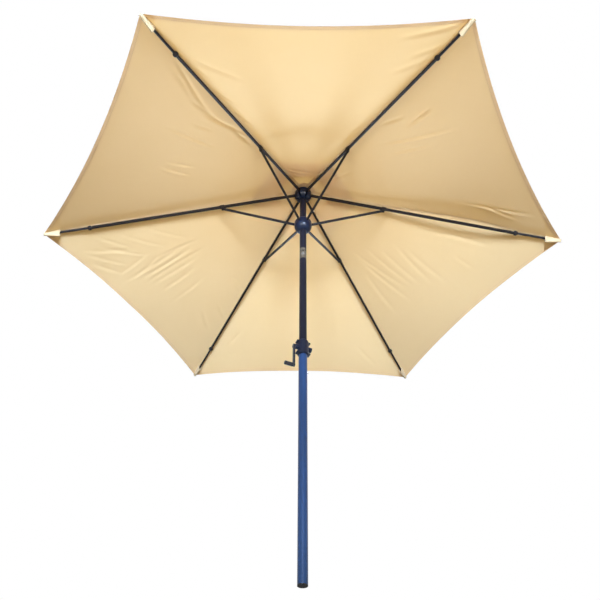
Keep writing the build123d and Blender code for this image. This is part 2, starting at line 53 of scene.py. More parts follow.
# Sizes shared with the solids
RIBS = 6
TIP_RADIUS = 1.350
APEX_HEIGHT = 2.2139739
SEAM_FALL = 0.289480738
HEM_INSET = 0.046
MIDDLE_SAG = 0.008
CLOTH = 0.001
VENT_RADIUS = 0.147
CAP_RADIUS = 0.290
CAP_LIFT = 0.012
POCKET_REACH = 1.267
RIB_STEP = 360 / RIBS      # degrees from one rib to the next

# Hems, felled seams and the patch under the finial
HEM_WIDTH = 0.018
HEM_FOLD = (0.0, 0.3, 0.65, 1.0)    # rows of the turned hem, as shares of its width
LAYER = 0.0011             # one folded layer under another
STRIP_HALF = 0.0075        # felled seam over each rib
STRIP_THICK = 0.0008
STRIP_ROWS = 40
STRIP_PROFILE = ((-1, 0.4), (-0.55, 1), (0, 1), (0.55, 1), (1, 0.4))    # shares of half width and thickness
SEAM_INSET = 0.002         # a seam stops this short of the vent's edge and of the corner
CAP_SEAM_START = 0.030
CAP_SEAM_INSET = 0.001
CAP_START = 0.026
CROWN_RADIUS = 0.068
CROWN_INNER = 0.0242
CROWN_ABOVE = 0.0016       # over the cap's cloth
CROWN_TURN_DOWN = 0.003
CROWN_EDGE = 0.75          # share of its width where it starts to turn down
CROWN_THICK = 0.0012
CROWN_RINGS = 10
CROWN_AROUND = 48

# Rows and columns of half a gore, in the canopy and in the cap
PANEL_GRID = (150, 72)
CAP_GRID = (34, 20)

# The corner pocket's section as (across, depth), from its sewn edge to its lowest line
POCKET_MOUTH = ((0.0110, 0.0), (0.0098, 0.006), (0.0084, 0.014), (0.0066, 0.024), (0.0046, 0.034),
                (0.0026, 0.0385), (0.0, 0.040))
POCKET_TIP = ((0.0090, 0.0), (0.0082, 0.003), (0.0070, 0.006), (0.0054, 0.009), (0.0038, 0.0112),
              (0.0020, 0.0124), (0.0, 0.013))
POCKET_ROWS = 24
POCKET_SHORT = 0.0030      # its full section stops this far from the corner
POCKET_CLOSING = ((0.0010, 0.75), (0.0018, 0.40), (0.0022, 0.08))    # rows beyond that, with their sizes
POCKET_BELOW = 0.0004      # sewn edge under the cloth
POCKET_THICK = 0.0008
PUCKER = 0.0007
PUCKER_DEEP = 260          # radians for each metre of depth, and of length
PUCKER_LONG = 60
PUCKER_WIDE = 60           # how much a pucker widens the sleeve

# Loose cloth that stands up from a rib's seam: rib number and height, where it starts, peaks and ends
LOOSE_SEAMS = {1: 0.036}
LOOSE_START, LOOSE_PEAK, LOOSE_FALL, LOOSE_END = 0.25, 0.90, 0.94, 1.18
LOOSE_WIDTH = 0.22

HALF_STEP = math.pi / RIBS
COS_HALF = math.cos(HALF_STEP)
SIN_HALF = math.sin(HALF_STEP)
TAN_HALF = math.tan(HALF_STEP)
FULL_OUT = TIP_RADIUS * COS_HALF
VENT_OUT = VENT_RADIUS * COS_HALF

# Low rolls in the cloth: height, waves along and across, and how far the next gore's are shifted
ROLL_HEIGHT = 0.0012
ROLL_OUT, ROLL_ACROSS = 9, 11
ROLL_PHASE, ROLL_SKEW = 2.4, 1.7

# A wrinkle's bow and the dip beside it, as shares of its length, height and width, and its fading ends
WRINKLE_BOW = 0.02
DIP_DEPTH, DIP_OFF, DIP_WIDE = 0.45, 1.7, 1.3
WRINKLE_START = (-0.15, 0.35)
WRINKLE_END = (0.65, 1.15)
SEAM_CALM = 0.035          # wrinkles and rolls die out this near to a seam
SLOPE_STEP = 0.002         # for measuring the cloth's slope

# Tension wrinkles of each gore: two ends as (out, across) from the pole, height and half width
WRINKLES = {
    1: [
        (0.44, 0.13, 0.76, 0.12, 0.0014, 0.0102), (0.49, 0.15, 0.83, 0.17, 0.0016, 0.0102),
        (0.54, 0.01, 0.81, 0.04, 0.0011, 0.0110), (0.57, -0.07, 0.86, -0.01, 0.0010, 0.0110),
        (0.57, 0.21, 0.83, 0.30, 0.0014, 0.0119), (0.63, -0.09, 0.92, -0.07, 0.0009, 0.0119),
        (0.74, -0.31, 0.93, -0.40, 0.0018, 0.0119), (0.85, -0.23, 0.96, -0.24, 0.0011, 0.0102),
        (0.61, -0.23, 0.85, -0.37, 0.0017, 0.0110), (0.47, 0.06, 0.78, 0.08, 0.0011, 0.0093),
    ],
    2: [
        (0.96, 0.46, 0.85, 0.36, 0.0015, 0.0110), (1.02, 0.50, 1.00, 0.38, 0.0013, 0.0102),
        (0.95, -0.35, 1.08, -0.48, 0.0013, 0.0110), (0.60, -0.20, 0.90, -0.24, 0.0008, 0.0153),
        (0.55, 0.18, 0.88, 0.22, 0.0008, 0.0153),
    ],
    3: [
        (1.04, 0.23, 0.85, 0.24, 0.0014, 0.0093), (1.07, 0.18, 0.68, 0.15, 0.0016, 0.0093),
        (1.00, 0.16, 0.81, 0.19, 0.0012, 0.0085), (0.95, 0.13, 0.67, 0.11, 0.0017, 0.0093),
        (0.95, 0.06, 0.66, 0.04, 0.0014, 0.0102), (0.93, -0.01, 0.72, -0.01, 0.0014, 0.0102),
        (1.08, 0.46, 0.88, 0.30, 0.0016, 0.0110), (1.10, 0.37, 1.03, 0.23, 0.0014, 0.0102),
        (0.85, -0.29, 0.90, -0.42, 0.0014, 0.0110), (0.59, -0.20, 0.58, -0.30, 0.0017, 0.0102),
        (0.76, -0.32, 0.79, -0.44, 0.0014, 0.0102), (0.94, -0.11, 0.72, -0.10, 0.0011, 0.0102),
        (0.99, 0.50, 0.88, 0.30, 0.0012, 0.0090), (1.02, 0.44, 0.84, 0.21, 0.0012, 0.0090),
        (0.89, 0.43, 0.74, 0.19, 0.0012, 0.0090), (0.77, 0.38, 0.62, 0.15, 0.0012, 0.0090),
        (0.58, 0.12, 0.85, 0.19, 0.0012, 0.0090), (0.58, 0.06, 0.98, 0.09, 0.0012, 0.0090),
        (0.59, -0.20, 0.62, -0.36, 0.0012, 0.0090), (1.09, 0.44, 0.97, 0.25, 0.0012, 0.0090),
    ],
    4: [
        (0.94, 0.47, 0.69, 0.31, 0.0061, 0.0110), (0.88, 0.43, 0.75, 0.34, -0.0041, 0.0085),
        (0.79, -0.06, 0.64, -0.07, 0.0041, 0.0085), (0.77, -0.02, 0.64, -0.01, 0.0036, 0.0085),
        (0.76, 0.24, 0.65, 0.23, 0.0036, 0.0102), (0.58, 0.28, 0.43, 0.21, 0.0036, 0.0102),
        (0.95, 0.52, 0.76, 0.36, 0.0045, 0.0093), (0.82, 0.36, 0.62, 0.28, 0.0045, 0.0093),
        (0.76, 0.31, 0.43, 0.26, 0.0045, 0.0093), (0.85, 0.18, 0.60, 0.14, 0.0045, 0.0093),
    ],
    5: [
        (0.95, -0.51, 0.82, -0.27, 0.0024, 0.014), (0.65, -0.35, 0.55, -0.28, 0.0026, 0.012),
        (1.07, 0.40, 1.15, 0.66, 0.0034, 0.013), (0.97, 0.45, 1.05, 0.61, 0.0028, 0.013),
        (0.88, 0.38, 0.97, 0.55, 0.0022, 0.014), (0.20, -0.10, 0.16, 0.06, 0.0034, 0.010),
        (0.17, -0.09, 0.14, 0.05, 0.0026, 0.008),
        (0.96, -0.54, 0.84, -0.44, 0.0020, 0.0110), (0.78, -0.44, 0.68, -0.33, 0.0020, 0.0110),
        (0.65, -0.37, 0.54, -0.26, 0.0020, 0.0110),
    ],
    6: [
        (0.71, -0.25, 0.86, -0.32, 0.0049, 0.0102), (0.75, -0.27, 0.84, -0.31, 0.0045, 0.0076),
        (0.56, -0.19, 0.92, -0.18, 0.0045, 0.0093), (0.57, -0.12, 0.78, -0.12, 0.0041, 0.0093),
        (0.61, -0.30, 0.72, -0.31, 0.0036, 0.0102), (0.81, 0.32, 1.07, 0.45, 0.0061, 0.0102),
        (0.87, 0.35, 1.00, 0.47, 0.0053, 0.0093), (0.33, -0.06, 0.19, -0.03, 0.0036, 0.0102),
    ],
}


def smooth(low, high, value):
    part = np.clip((value - low) / (high - low), 0, 1)
    return part * part * (3 - 2 * part)


# Cloth shape

def hem_out(share):
    """How far out the hem is, where share runs from 0 at a seam to 1 in the gore's middle."""
    half_side = TIP_RADIUS * SIN_HALF
    radius = (half_side ** 2 + HEM_INSET ** 2) / (2 * HEM_INSET)
    out = np.full_like(share, FULL_OUT)
    # The hem's arc and the line of this share are brought together in rounds
    for _ in range(30):
        across = np.minimum((1 - share) * TAN_HALF * out, half_side)
        out = FULL_OUT - HEM_INSET + radius - np.sqrt(radius ** 2 - across ** 2)
    return out


def wrinkle_height(gore, out, across):
    """Each wrinkle is a rounded ridge with a shallower dip on one side of it."""
    height = np.zeros_like(out)
    for out_a, across_a, out_b, across_b, tall, wide in WRINKLES[gore]:
        run = np.array([out_b - out_a, across_b - across_a])
        length = np.hypot(*run)
        run = run / length
        along = (out - out_a) * run[0] + (across - across_a) * run[1]
        bow = WRINKLE_BOW * length * np.sin(np.pi * np.clip(along / length, 0, 1))
        off = (across - across_a) * run[0] - (out - out_a) * run[1] - bow
        start = smooth(WRINKLE_START[0] * length, WRINKLE_START[1] * length, along)
        end = smooth(WRINKLE_END[0] * length, WRINKLE_END[1] * length, along)
        dip = DIP_DEPTH * np.exp(-((off - DIP_OFF * wide) / (DIP_WIDE * wide)) ** 2)
        ridge = np.exp(-(off / wide) ** 2) - dip
        height += tall * (start * (1 - end)) * ridge
    return height


def seam_rise(number, reach):
    """How far the cloth stands up from a rib's seam."""
    grow = smooth(LOOSE_START, LOOSE_PEAK, reach) * (1 - smooth(LOOSE_FALL, LOOSE_END, reach))
    return LOOSE_SEAMS.get(number, 0.0) * grow


def loose_height(gore, out, across):
    """What a loose seam on either rib of a gore adds to the cloth's height."""
    height = np.zeros_like(out)
    for number, side in ((gore, -1), (gore % RIBS + 1, 1)):
        if number in LOOSE_SEAMS:
            reach = out * COS_HALF + side * across * SIN_HALF
            off = (TAN_HALF * out - side * across) * COS_HALF
            height += seam_rise(number, reach) * np.exp(-off / LOOSE_WIDTH)
    return height


def cloth_height(gore, out, across, lift):
    """Height of the cloth of a gore between two ribs, at a distance out and across its middle line."""
    share = 1 - np.abs(across) / (TAN_HALF * out)
    share = np.clip(share, 0, 1)
    height = APEX_HEIGHT + lift + CLOTH / 2 - SEAM_FALL * out / COS_HALF
    height = height - MIDDLE_SAG * out / FULL_OUT * np.sin(np.pi / 2 * share)
    if lift == 0:
        calm = smooth(0, SEAM_CALM, share * TAN_HALF * out * COS_HALF)
        height = height + wrinkle_height(gore, out, across) * calm
        phase = ROLL_PHASE * gore
        roll = np.sin(ROLL_OUT * out + phase) * np.cos(ROLL_ACROSS * across + ROLL_SKEW * phase)
        height = height + ROLL_HEIGHT * roll * calm + loose_height(gore, out, across)
    return height


def cloth_normals(gore, out, across, lift):
    """The cloth's normals. In the gore's middle both halves share the slope that is measured across it."""
    step = SLOPE_STEP
    by_out = cloth_height(gore, out + step, across, lift) - cloth_height(gore, out - step, across, lift)
    by_across = cloth_height(gore, out, across + step, lift) - cloth_height(gore, out, across - step, lift)
    normal = np.stack([-by_out / (2 * step), -by_across / (2 * step), np.ones_like(out)], -1)
    return normal / np.linalg.norm(normal, axis=-1, keepdims=True)


def gore_to_world(gore, local):
    middle = math.radians(RIB_STEP * gore - RIB_STEP / 2)
    turn = np.array([
        [math.cos(middle), -math.sin(middle), 0],
        [math.sin(middle), math.cos(middle), 0],
        [0, 0, 1],
    ])
    return local @ turn.T


def grid_faces(rows, columns, flip):
    faces = []
    for row in range(rows - 1):
        for column in range(columns - 1):
            a = row * columns + column
            face = (a, a + columns, a + columns + 1, a + 1)
            faces.append(face[::-1] if flip else face)
    return faces


def new_mesh(name, points, faces, normals=None):
    mesh = bpy.data.meshes.new(name)
    mesh.from_pydata([tuple(p) for p in points], [], faces)
    mesh.polygons.foreach_set("use_smooth", [True] * len(mesh.polygons))
    if normals is not None:
        mesh.normals_split_custom_set_from_vertices([tuple(n) for n in normals])
    mesh.update()
    made = bpy.data.objects.new(name, mesh)
    scene.collection.objects.link(made)
    return made


def add_values(made, name, values):
    layer = made.data.attributes.new(name, "FLOAT", "POINT")
    layer.data.foreach_set("value", np.asarray(values, np.float32))


def half_cloth(name, gore, side, start, lift, hem, rows, columns):
    """One half of a gore, from the rib's seam to the middle, with its hem folded under.
    side is -1 for the half at the gore's first rib and +1 for the half at its second rib."""
    share = np.linspace(0, 1, columns)
    far = hem(share)
    near = np.full_like(far, start)
    open_rows = [(part, 0.0, 0.0, 1) for part in np.linspace(0, 1, rows)]
    folded_rows = [(1.0, -HEM_WIDTH * part, -LAYER, -1) for part in HEM_FOLD]
    out_rows = []
    drop_rows = []
    face_rows = []
    for part, inward, drop, facing in open_rows + folded_rows:
        out_rows.append(near + (far - near) * part + inward)
        drop_rows.append(np.full_like(far, drop))
        face_rows.append(np.full_like(far, facing))
    out = np.stack(out_rows)
    drop = np.stack(drop_rows)
    facing = np.stack(face_rows)
    across = side * (1 - share)[None, :] * TAN_HALF * out
    height = cloth_height(gore, out, across, lift) + drop
    points = np.stack([out, across, height], -1).reshape(-1, 3)
    normals = (cloth_normals(gore, out, across, lift) * facing[..., None]).reshape(-1, 3)
    faces = grid_faces(out.shape[0], columns, side > 0)
    made = new_mesh(name, gore_to_world(gore, points), faces, gore_to_world(gore, normals))
    add_values(made, "from_hem", (far[None, :] - out).reshape(-1))
    seam_share = 1 - np.abs(across) / (TAN_HALF * out)
    add_values(made, "from_seam", (seam_share * TAN_HALF * out * COS_HALF).reshape(-1))
    uv = made.data.uv_layers.new(name="cloth")
    flat = points[:, :2]
    loops = np.zeros(len(made.data.loops), np.int32)
    made.data.loops.foreach_get("vertex_index", loops)
    uv.data.foreach_set("uv", flat[loops].astype(np.float32).reshape(-1))
    return made


def rib_axes(number):
    turn = math.radians(RIB_STEP * (number - 1))
    return Vector((math.cos(turn), math.sin(turn), 0)), Vector((-math.sin(turn), math.cos(turn), 0))


def gather(piece):
    """Gives the piece a mesh of its own."""
    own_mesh(piece)


def on_rib(number, points):
    ahead, aside = rib_axes(number)
    turn = np.array([list(ahead), list(aside), [0, 0, 1]]).T
    return np.asarray(points) @ turn.T


def seam_strip(name, number, start, end, lift):
    """The felled seam over a rib, lying on both halves."""
    fall = SEAM_FALL * TAN_HALF
    points = []
    for reach in np.linspace(start, end, STRIP_ROWS):
        middle = APEX_HEIGHT + lift + CLOTH / 2 - SEAM_FALL * reach
        if lift == 0:
            middle += float(seam_rise(number, reach))
        for sign in (1, -1):
            for share, thick in STRIP_PROFILE[::sign]:
                place = share * STRIP_HALF
                points.append((reach, place, middle - fall * abs(place) + sign * STRIP_THICK * thick))
    ring = 2 * len(STRIP_PROFILE)
    faces = []
    for row in range(STRIP_ROWS - 1):
        for place in range(ring):
            a = row * ring + place
            b = row * ring + (place + 1) % ring
            faces.append((a, b, b + ring, a + ring))
    faces.append(tuple(range(ring))[::-1])
    faces.append(tuple(range((STRIP_ROWS - 1) * ring, STRIP_ROWS * ring)))
    made = new_mesh(name, on_rib(number, points), faces)
    add_values(made, "from_seam", [abs(p[1]) for p in points])
    add_values(made, "along", [p[0] for p in points])
    return made


def tip_pocket(name, number):
    """The sleeve that hangs under a corner, with the rib end's rod in it."""
    fall = SEAM_FALL * TAN_HALF
    last = TIP_RADIUS - POCKET_SHORT
    parts = np.linspace(0, 1, POCKET_ROWS)
    rings = [(part, POCKET_REACH + (last - POCKET_REACH) * part, 1.0) for part in parts]
    rings += [(1.0, last + beyond, share) for beyond, share in POCKET_CLOSING]
    mouth = np.array(POCKET_MOUTH)
    mouth_depth = POCKET_MOUTH[-1][1]
    tip = np.array(POCKET_TIP)
    points = []
    for part, reach, share in rings:
        side = mouth + (tip - mouth) * part
        profile = np.concatenate([side * (-1, 1), side[-2::-1]])
        base = APEX_HEIGHT - SEAM_FALL * reach - POCKET_BELOW
        for across, deep in profile * share:
            wave = math.sin(PUCKER_DEEP * deep + PUCKER_LONG * reach)
            pucker = PUCKER * wave * math.sin(math.pi * part)
            high = base - fall * abs(across) * (1 - deep / mouth_depth) - deep
            points.append((reach, across * (1 + PUCKER_WIDE * pucker), high))
    faces = grid_faces(len(rings), 2 * len(POCKET_MOUTH) - 1, False)
    made = new_mesh(name, on_rib(number, points), faces)
    made.modifiers.new("thickness", "SOLIDIFY").thickness = POCKET_THICK
    return made


def crown_patch():
    """A round patch of doubled cloth over the cap's middle, which stays on the pole."""
    around = CROWN_AROUND
    points = []
    for ring in range(CROWN_RINGS):
        part = ring / (CROWN_RINGS - 1)
        reach = CROWN_INNER + (CROWN_RADIUS - CROWN_INNER) * part
        for place in range(around):
            turn = 2 * math.pi * place / around
            near_rib = (turn + HALF_STEP) % (2 * HALF_STEP) - HALF_STEP
            out = reach * math.cos(near_rib) + reach * abs(math.sin(near_rib)) * TAN_HALF
            high = APEX_HEIGHT + CAP_LIFT + CLOTH + CROWN_ABOVE - SEAM_FALL * out
            high -= CROWN_TURN_DOWN * smooth(CROWN_EDGE, 1.0, part)
            points.append((reach * math.cos(turn), reach * math.sin(turn), high))
    faces = []
    for ring in range(CROWN_RINGS - 1):
        for place in range(around):
            a = ring * around + place
            b = ring * around + (place + 1) % around
            faces.append((a, a + around, b + around, b))
    made = new_mesh("crown_patch", points, faces)
    made.modifiers.new("thickness", "SOLIDIFY").thickness = CROWN_THICK
    return made


# Materials

THREAD_SCALE = 190.0
STITCHES = 170.0           # in a metre
STITCH_SHARE = 0.68        # of the pitch that a stitch takes
STITCH_HALF = 0.0009
STITCH_TONE = 0.76
HEM_STITCH = 0.015         # from the hem's edge
SEAM_STITCH = 0.0050       # from the seam's middle
CLOTH_LIT = (0.82, 0.48, 0.13)      # colour of light that comes through


def shade(name):
    made = bpy.data.materials.new(name)
    made.use_nodes = True
    tree = made.node_tree
    tree.nodes.clear()
    return made, tree


def node(tree, kind, **values):
    made = tree.nodes.new(kind)
    for key, value in values.items():
        setattr(made, key, value)
    return made


def link(tree, source, target):
    tree.links.new(source, target)


def maths(tree, operation, first, second=None, third=None, clamp=False):
    made = node(tree, "ShaderNodeMath", operation=operation, use_clamp=clamp)
    for place, value in enumerate((first, second, third)):
        if value is None:
            continue
        if isinstance(value, (int, float)):
            made.inputs[place].default_value = value
        else:
            link(tree, value, made.inputs[place])
    return made.outputs[0]


def noise(tree, vector, scale, detail):
    made = node(tree, "ShaderNodeTexNoise")
    made.inputs["Scale"].default_value = scale
    made.inputs["Detail"].default_value = detail
    made.inputs["Roughness"].default_value = 0.5
    link(tree, vector, made.inputs["Vector"])
    return made.outputs["Fac"]


def stretched(tree, vector, scale):
    made = node(tree, "ShaderNodeMapping")
    made.inputs["Scale"].default_value = scale
    link(tree, vector, made.inputs["Vector"])
    return made.outputs["Vector"]


def mixed(tree, factor, first, second):
    made = node(tree, "ShaderNodeMix", data_type="RGBA")
    for place, value in ((6, first), (7, second)):
        if isinstance(value, tuple):
            made.inputs[place].default_value = (*value, 1)
        else:
            link(tree, value, made.inputs[place])
    link(tree, factor, made.inputs[0])
    return made.outputs[2]


def bump(tree, height, strength, distance, after=None):
    made = node(tree, "ShaderNodeBump")
    made.inputs["Strength"].default_value = strength
    made.inputs["Distance"].default_value = distance
    link(tree, height, made.inputs["Height"])
    if after is not None:
        link(tree, after, made.inputs["Normal"])
    return made.outputs["Normal"]


def band(tree, value, middle, half):
    """1 within half of middle, and 0 elsewhere."""
    off = maths(tree, "ABSOLUTE", maths(tree, "SUBTRACT", value, middle))
    return maths(tree, "LESS_THAN", off, half)


def attribute(tree, name):
    return node(tree, "ShaderNodeAttribute", attribute_name=name).outputs["Fac"]


def cloth_material(name, colour, deep, lit, through, stitches):
    """Woven polyester: thread lines, slubs, soft changes of tone, stitching, and light that comes through.
    stitches gives the value that runs along the line of stitching, the value across it, and its place."""
    made, tree = shade(name)
    place = node(tree, "ShaderNodeTexCoord").outputs["Object"]
    tone = noise(tree, place, 3.5, 4)
    slub_one = noise(tree, stretched(tree, place, (14, 420, 14)), 1.0, 2)
    slub_two = noise(tree, stretched(tree, place, (420, 14, 14)), 1.0, 2)
    slubs = maths(tree, "ADD", slub_one, slub_two)
    blend = maths(tree, "MULTIPLY", tone, 0.7)
    spread = maths(tree, "MULTIPLY", slubs, 0.28)
    factor = maths(tree, "ADD", blend, spread, clamp=True)
    surface = mixed(tree, factor, colour, deep)
    weave = []
    for direction in ("X", "Y"):
        thread = node(tree, "ShaderNodeTexWave", bands_direction=direction)
        thread.inputs["Scale"].default_value = THREAD_SCALE
        thread.inputs["Distortion"].default_value = 0.6
        link(tree, place, thread.inputs["Vector"])
        weave.append(thread.outputs["Fac"])
    threads = maths(tree, "MULTIPLY", weave[0], weave[1])
    normal = bump(tree, threads, 0.25, 0.0004)
    if stitches:
        along, source, middle = stitches
        dashes = maths(tree, "FRACT", maths(tree, "MULTIPLY", attribute(tree, along), STITCHES))
        dash = maths(tree, "LESS_THAN", dashes, STITCH_SHARE)
        line = band(tree, attribute(tree, source), middle, STITCH_HALF)
        sewn = maths(tree, "MULTIPLY", line, dash)
        surface = mixed(tree, sewn, surface, tuple(STITCH_TONE * part for part in deep))
        normal = bump(tree, sewn, 0.6, 0.0012, normal)
    solid = node(tree, "ShaderNodeBsdfPrincipled")
    solid.inputs["Roughness"].default_value = 0.82
    solid.inputs["Specular IOR Level"].default_value = 0.25
    solid.inputs["Sheen Weight"].default_value = 0.15
    solid.inputs["Sheen Roughness"].default_value = 0.5
    link(tree, surface, solid.inputs["Base Color"])
    link(tree, normal, solid.inputs["Normal"])
    glow = node(tree, "ShaderNodeBsdfTranslucent")
    glow.inputs["Color"].default_value = (*lit, 1)
    link(tree, normal, glow.inputs["Normal"])
    both = node(tree, "ShaderNodeMixShader")
    both.inputs[0].default_value = through
    link(tree, solid.outputs[0], both.inputs[1])
    link(tree, glow.outputs[0], both.inputs[2])
    link(tree, both.outputs[0], node(tree, "ShaderNodeOutputMaterial").inputs[0])
    return made


def coated_material(name, colour, worn, rough, metallic=0.0, coat=0.0, shine=0.5, grain=900.0):
    """Painted or moulded surface with a fine grain and slight changes of tone and gloss."""
    made, tree = shade(name)
    place = node(tree, "ShaderNodeTexCoord").outputs["Object"]
    tone = noise(tree, place, 14.0, 5)
    fine = noise(tree, place, grain, 2)
    streak = noise(tree, stretched(tree, place, (60, 60, 4)), 1.0, 3)
    factor = maths(tree, "MULTIPLY", tone, streak, clamp=True)
    surface = mixed(tree, factor, colour, worn)
    solid = node(tree, "ShaderNodeBsdfPrincipled")
    solid.inputs["Metallic"].default_value = metallic
    solid.inputs["Specular IOR Level"].default_value = shine
    if coat:
        solid.inputs["Coat Weight"].default_value = coat
        solid.inputs["Coat Roughness"].default_value = 0.12
    gloss = maths(tree, "MULTIPLY_ADD", tone, 0.16, rough - 0.08)
    link(tree, gloss, solid.inputs["Roughness"])
    link(tree, surface, solid.inputs["Base Color"])
    link(tree, bump(tree, fine, 0.35, 0.00012), solid.inputs["Normal"])
    link(tree, solid.outputs[0], node(tree, "ShaderNodeOutputMaterial").inputs[0])
    return made


HEM_STITCHES = ("from_seam", "from_hem", HEM_STITCH)
panel_cloth = cloth_material(
    "canopy_polyester", (0.87, 0.645, 0.350), (0.805, 0.58, 0.297), CLOTH_LIT, 0.28, HEM_STITCHES,
)
cap_cloth = cloth_material(
    "cap_polyester", (0.88, 0.67, 0.385), (0.82, 0.605, 0.33), CLOTH_LIT, 0.30, HEM_STITCHES,
)
strip_cloth = cloth_material(
    "seam_polyester", (0.87, 0.65, 0.355), (0.80, 0.58, 0.297), CLOTH_LIT, 0.28,
    ("along", "from_seam", SEAM_STITCH),
)
# The pockets are the canopy's cloth in a darker colour: painted shade that tones down the strong lamp light
# on the corners.
shaded_pocket_cloth = cloth_material(
    "pocket_polyester_painted_shade", (0.60, 0.455, 0.26), (0.54, 0.40, 0.22), CLOTH_LIT, 0.12, None,
)
pole_blue = coated_material(
    "pole_blue_paint", (0.0115, 0.041, 0.122), (0.0150, 0.052, 0.150), 0.40,
    metallic=0.1, coat=0.05, shine=0.3,
)
# The mid and upper pole take the pole's own dark paint, made darker and greyer as painted shade of the
# canopy above them.
pole_dark_with_painted_shade = coated_material(
    "pole_paint_with_painted_shade", (0.006, 0.006, 0.011), (0.010, 0.010, 0.017), 0.45, shine=0.14,
)
rib_paint = coated_material(
    "rib_bronze_paint", (0.008, 0.006, 0.005), (0.014, 0.010, 0.009), 0.60, shine=0.2,
)
navy_plastic = coated_material(
    "navy_plastic", (0.0025, 0.0060, 0.017), (0.0040, 0.0095, 0.026), 0.32,
    coat=0.05, shine=0.25, grain=500.0,
)
crank_dark = coated_material(
    "crank_dark_paint", (0.010, 0.011, 0.016), (0.017, 0.019, 0.026), 0.45, shine=0.3,
)
black_plastic = coated_material(
    "black_plastic", (0.008, 0.008, 0.010), (0.014, 0.014, 0.017), 0.50, shine=0.3, grain=500.0,
)
tilt_cast = coated_material(
    "tilt_cast_metal", (0.085, 0.069, 0.050), (0.066, 0.054, 0.040), 0.48, metallic=0.2, shine=0.3,
)
bare_steel = coated_material("bare_steel", (0.62, 0.62, 0.62), (0.50, 0.50, 0.51), 0.26, metallic=1.0)

PAINTS = {
    "lower_pole": pole_blue, "mid_pole": pole_dark_with_painted_shade, "upper_pole": pole_dark_with_painted_shade, "foot_plug": black_plastic,
    "snap_button": bare_steel, "tilt_fork": tilt_cast, "tilt_tongue": tilt_cast, "tilt_pin": bare_steel,
    "tilt_button": black_plastic,
    "housing_front": navy_plastic, "housing_back": navy_plastic, "housing_screws": crank_dark,
    "crank_spool": crank_dark, "crank_arm": crank_dark, "crank_knob": black_plastic,
    "top_hub": navy_plastic, "hub_pins": bare_steel, "finial": navy_plastic, "pulley": black_plastic,
    "runner": navy_plastic, "runner_pins": bare_steel,
}
for number in range(1, RIBS + 1):
    for piece_name in ("rib", "rib_end", "rib_bracket", "strut"):
        PAINTS[f"{piece_name}_{number}"] = rib_paint
for node_name, paint in PAINTS.items():
    nodes[node_name].data.materials.clear()
    nodes[node_name].data.materials.append(paint)


# Springs, each drawn a little short of its button

SPRING_ROOM = 0.0001       # by which each is drawn short of its button
SPRINGS = (                # piece, CAD node, body, joint, direction, end that stays (0 low, 1 high), travel
    ("tilt_coil", "tilt_spring", "upper", "tilt_press", 1, 1, 0.003),
    ("snap_leaf", "snap_spring", "stand", "snap_press", 0, 0, 0.005),
)
for piece_name, node_name, body, joint, way, end, travel in SPRINGS:
    source = nodes[node_name]
    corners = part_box(node_name)
    length = corners[1][way] - corners[0][way]
    points = np.array([source.matrix_world @ vertex.co for vertex in source.data.vertices])
    points[:, way] += (corners[end][way] - points[:, way]) * SPRING_ROOM / length
    spring = new_mesh(piece_name, points, [tuple(face.vertices) for face in source.data.polygons])
    spring.data.materials.append(bare_steel)
    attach(spring, body)
    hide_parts(node_name)
    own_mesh(spring)


# Canopy

def cap_hem(share):
    return np.full_like(share, CAP_RADIUS * COS_HALF)


def sew(piece, cloth, body):
    piece.data.materials.append(cloth)
    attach(piece, body)


STRIPS = (                 # name, start and end along the rib, lift
    ("seam", VENT_RADIUS + SEAM_INSET, TIP_RADIUS - SEAM_INSET, 0),
    ("cap_seam", CAP_SEAM_START, CAP_RADIUS - CAP_SEAM_INSET, CAP_LIFT),
)

for number in range(1, RIBS + 1):
    body = f"rib_{number}"
    for word, gore, side in (("left", number, -1), ("right", (number - 2) % RIBS + 1, 1)):
        panel = half_cloth(f"panel_{word}_{number}", gore, side, VENT_OUT, 0, hem_out, *PANEL_GRID)
        sew(panel, panel_cloth, body)
        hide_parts(f"canopy_{word}_{number}")
        gather(panel)
        start = CAP_START * COS_HALF
        cap = half_cloth(f"cap_{word}_{number}", gore, side, start, CAP_LIFT, cap_hem, *CAP_GRID)
        sew(cap, cap_cloth, body)
        gather(cap)
    for strip_name, start, end, lift in STRIPS:
        sew(seam_strip(f"{strip_name}_strip_{number}", number, start, end, lift), strip_cloth, body)
    sew(tip_pocket(f"tip_pocket_{number}", number), shaded_pocket_cloth, body)

patch = crown_patch()
sew(patch, strip_cloth, "upper")
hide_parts("vent_cap")


# Stage, light and camera

FLOOR_HALF = 60.0
FLOOR_GLOW = 0.45          # makes the floor pale where it is seen, without lighting the umbrella
SKY_LEVEL = 0.10           # light that the world gives
SKY_TINT = (1.0, 0.95, 0.87, 1)


